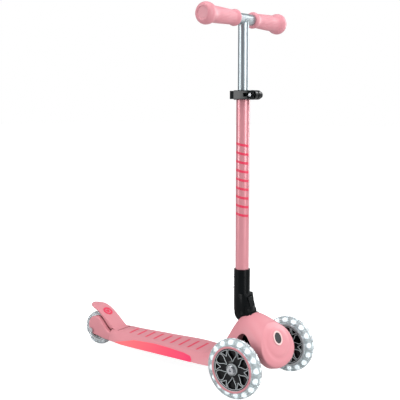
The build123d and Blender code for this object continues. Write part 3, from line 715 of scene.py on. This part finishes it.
def weld_bead():
    """The weld where the upright tube meets the crossbar."""
    points, tube_r = [], 11.3
    for k in range(72):
        a = 2 * pi * k / 72
        x, y = tube_r * cos(a), tube_r * sin(a)
        drop = sqrt(max(tube_r ** 2 - y * y, 0)) + 0.1
        points.append(BAR + Vector((x, y, -drop)) * MM)
    build = Build()
    build.tube(points, 1.0 * MM, 0, 8, True, Vector((0, 0, 1)))
    build.make("crossbar_weld", "handlebar", ["silver_tube"])


# ---- rear brake ---------------------------------------------------------------------------------------
def brake():
    """The curved brake pedal, thin and crowned, with side skirts."""
    crown = [
        (390.5, 50.9), (396, 51.2), (402, 53.6), (410, 59.4), (420, 68.0), (436, 80.5), (452, 90.2),
        (470, 97.2), (487.5, 99.6),
    ]
    line = smooth_line(crown, 6)
    loops = []
    for i, (y, z) in enumerate(line):
        before, after = line[max(i - 1, 0)], line[min(i + 1, len(line) - 1)]
        along = Vector((0, after[0] - before[0], after[1] - before[1])).normalized()
        normal = Vector((0, -along.z, along.y))
        half = 22.0 * (1 - max((y - 455) / 33.5, 0) ** 2.4) ** 0.5 if y > 455 else 22.0
        half = max(half, 1.0)
        thick = 1.5 + 2.9 * smoothstep(390, 402, y)
        loop = []
        for k in range(25):
            t = -1 + 2 * k / 24
            edge = 1.2 * abs(t) ** 6
            loop.append(at(t * half, y, z) + normal * (0.5 * (1 - t * t) - edge) * MM)
        for k in range(25):
            t = 1 - 2 * k / 24
            edge = 0.6 * abs(t) ** 6
            loop.append(at(t * (half - 0.4), y, z) + normal * (edge - thick) * MM)
        loops.append(loop)
    build = Build()
    build.loops(loops, 0, False)
    skirt = [
        (411, 50), (421, 57.5), (430, 66.5), (440, 76.5), (452, 86.5), (458, 90), (440, 80), (420, 65),
        (408, 54),
    ]
    skirt = smooth_line(skirt, 3)
    for side in (-1, 1):
        slices = (18.8, 19.2, 21.5, 21.9)
        build.loops([[at(side * x, y, z) for y, z in skirt] for x in slices], 0, False)
    pin_y, pin_z = BRAKE_PIN
    barrel = [(pin_y + 6.1 * cos(a), pin_z + 6.1 * sin(a)) for a in [2 * pi * k / 32 for k in range(32)]]
    web = ((393, 44), (395, 50), (406, 54), (404, 43))
    for outline, x0, x1 in ((barrel, -21.4, -7.1), (barrel, 7.1, 21.4), (web, -21.4, 21.4)):
        build.loops([[at(x, y, z) for y, z in outline] for x in (x0, x1)], 0, False)
    build.make("brake_fender", "brake", ["pink_plastic"], ["brake_pedal"])


def brake_mark():
    """A plain round inlay, a disc inside a ring, set in the crown of the brake."""
    centre = middle("brake_badge")
    along = Vector((0, 0.835, 0.55))
    normal = Vector((0, -0.55, 0.835))
    disc = [(0.3, 0.75), (4.2, 0.8), (4.7, 0.3), (4.7, -0.8), (0.3, -0.8)]
    ring = [(6.9, -0.8), (6.9, 0.4), (7.3, 0.8), (11.5, 0.7), (12.0, 0.2), (12.0, -0.8)]
    build = Build()
    for profile in (disc, ring):
        loops = []
        for k in range(72):
            a = 2 * pi * k / 72
            spoke = Vector((cos(a), 0, 0)) + along * sin(a)
            loops.append([centre + (spoke * r + normal * h) * MM for r, h in profile])
        build.loops(loops)
    build.make("brake_round_mark", "brake", ["coral_rubber"], ["brake_badge"])


# ---- make everything ---------------------------------------------------------------------------------
front_wheel("right", -1)
front_wheel("left", 1)
rear_wheel()
head_cover()
button_spring()
grip("right", -1)
grip("left", 1)
weld_bead()
brake()
brake_mark()
cad_nodes["deck_side_panels"].data.materials[0] = M["panel_coral"]
cad_nodes["fold_pin"].data.materials[0] = M["black_metal"]
cad_nodes["crossbar"].data.materials[0] = M["silver_bar"]
refined("deck_shell", "moulded_deck", "deck", 1.2, "pink_plastic")
refined("fold_knuckle", "mast_socket", "mast", 2.2, "black_plastic")
refined("fold_button", "release_button", "fold_button", 1.6, "dark_button", "black_plastic")
refined("clamp_collar", "height_clamp", "mast", 2.0, "black_plastic", "gloss_black")
refined("clamp_lever", "quick_lever", "clamp_lever", 1.5, "black_plastic", "gloss_black")


# ---- camera, floor and light ----------------------------------------------------------------
def camera():
    """The camera that looks at the scooter's right front corner."""
    data = bpy.data.cameras.new("camera")
    data.lens = 70.2
    data.sensor_width = 36
    data.clip_end = 50
    obj = bpy.data.objects.new("camera", data)
    bpy.context.collection.objects.link(obj)
    yaw, pitch = radians(52.87), radians(6.76)
    obj.location = (-1.3287, AXLE_Y - 0.8427, 0.5708)
    look = Vector((sin(yaw) * cos(pitch), cos(yaw) * cos(pitch), -sin(pitch)))
    obj.rotation_euler = look.to_track_quat("-Z", "Y").to_euler()
    bpy.context.scene.camera = obj


def floor():
    """A plain pale floor, bright to the camera and dim to the object, so that it adds little light."""
    bpy.ops.mesh.primitive_plane_add(size=40)
    obj = bpy.context.object
    obj.name = "floor"
    mat, tree, bsdf = new_material("floor", (0.5, 0.5, 0.5), 0.9)
    bsdf.inputs["Specular IOR Level"].default_value = 0.0
    bsdf.inputs["Emission Color"].default_value = (1, 1, 1, 1)
    path = tree.nodes.new("ShaderNodeLightPath")
    vary(tree, bsdf, path.outputs["Is Camera Ray"], 0.12, 0.9, "Emission Strength")
    obj.data.materials.append(mat)


def soft_box(name, place, target, width, height, power):
    """An upright soft box that faces a point."""
    data = bpy.data.lights.new(name, "AREA")
    data.shape = "RECTANGLE"
    data.size = width
    data.size_y = height
    data.energy = power
    obj = bpy.data.objects.new(name, data)
    bpy.context.collection.objects.link(obj)
    obj.location = place
    obj.rotation_euler = (Vector(target) - Vector(place)).to_track_quat("-Z", "Y").to_euler()


def world():
    """A white backdrop for the camera; a softer grey surround for everything else."""
    sky = bpy.data.worlds.new("studio")
    bpy.context.scene.world = sky
    sky.use_nodes = True
    tree = sky.node_tree
    seen = tree.nodes["Background"]
    seen.inputs["Color"].default_value = (1, 1, 1, 1)
    seen.inputs["Strength"].default_value = 1.0
    around = tree.nodes.new("ShaderNodeBackground")
    around.inputs["Color"].default_value = (0.9, 0.94, 1.0, 1)
    around.inputs["Strength"].default_value = 0.36
    path = tree.nodes.new("ShaderNodeLightPath")
    mix = tree.nodes.new("ShaderNodeMixShader")
    tree.links.new(path.outputs["Is Camera Ray"], mix.inputs["Fac"])
    tree.links.new(around.outputs["Background"], mix.inputs[1])
    tree.links.new(seen.outputs["Background"], mix.inputs[2])
    tree.links.new(mix.outputs["Shader"], tree.nodes["World Output"].inputs["Surface"])


camera()
floor()
world()
soft_box("front", (-0.3, -2.3, 1.2), (0, 0, 0.45), 1.0, 2.0, 38)
soft_box("left", (-1.8, 1.4, 1.1), (0, 0, 0.35), 0.8, 2.0, 30)
soft_box("right", (1.9, -0.7, 1.0), (0, 0, 0.35), 0.8, 1.6, 20)
soft_box("top", (-0.3, -0.3, 2.4), (0, 0, 0), 1.5, 1.5, 26)
bpy.context.scene.view_settings.view_transform = "Standard"
